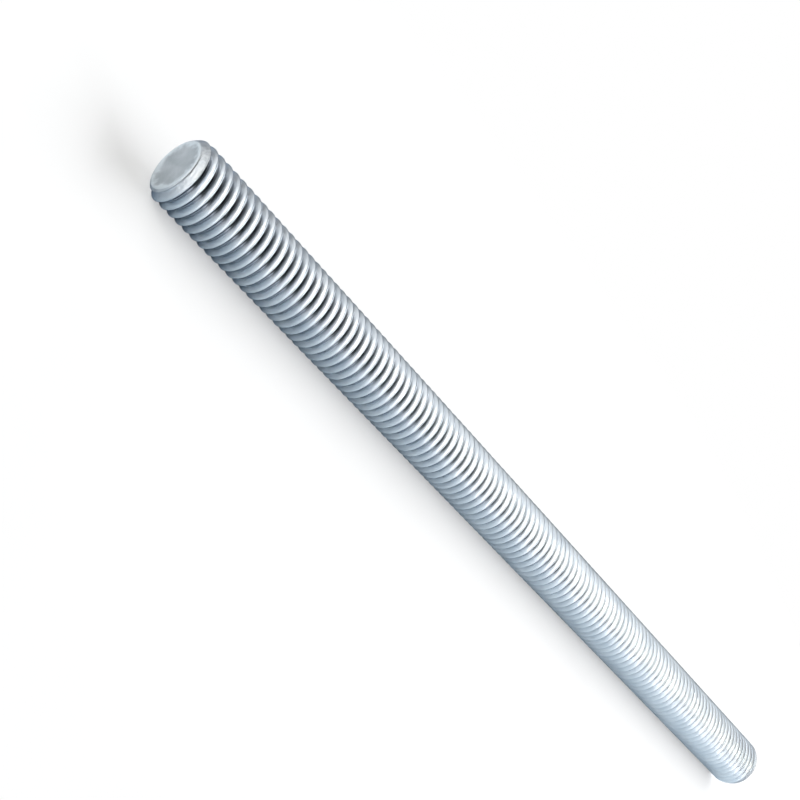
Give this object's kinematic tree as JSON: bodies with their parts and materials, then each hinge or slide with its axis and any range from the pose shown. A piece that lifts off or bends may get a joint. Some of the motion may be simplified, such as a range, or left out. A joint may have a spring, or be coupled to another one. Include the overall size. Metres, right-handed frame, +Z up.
{
  "type": "threaded rod",
  "caption": "Straight zinc-plated steel rod with a continuous right-hand metric thread from end to end and two chamfered square-cut ends.",
  "frame": {"origin": "centre of the first end face, on the rod's axis", "axes": "+X along the rod's axis from the first end face to the second, +Z up; the rod lies level"},
  "size_m": [0.18, 0.01, 0.01],
  "materials": {
    "zinc_plated_steel": "bright zinc plate with a faint blue tint, duller on the cut end faces"
  },
  "bodies": {
    "root": {"threaded_rod": "zinc_plated_steel"}
  },
  "joints": []
}
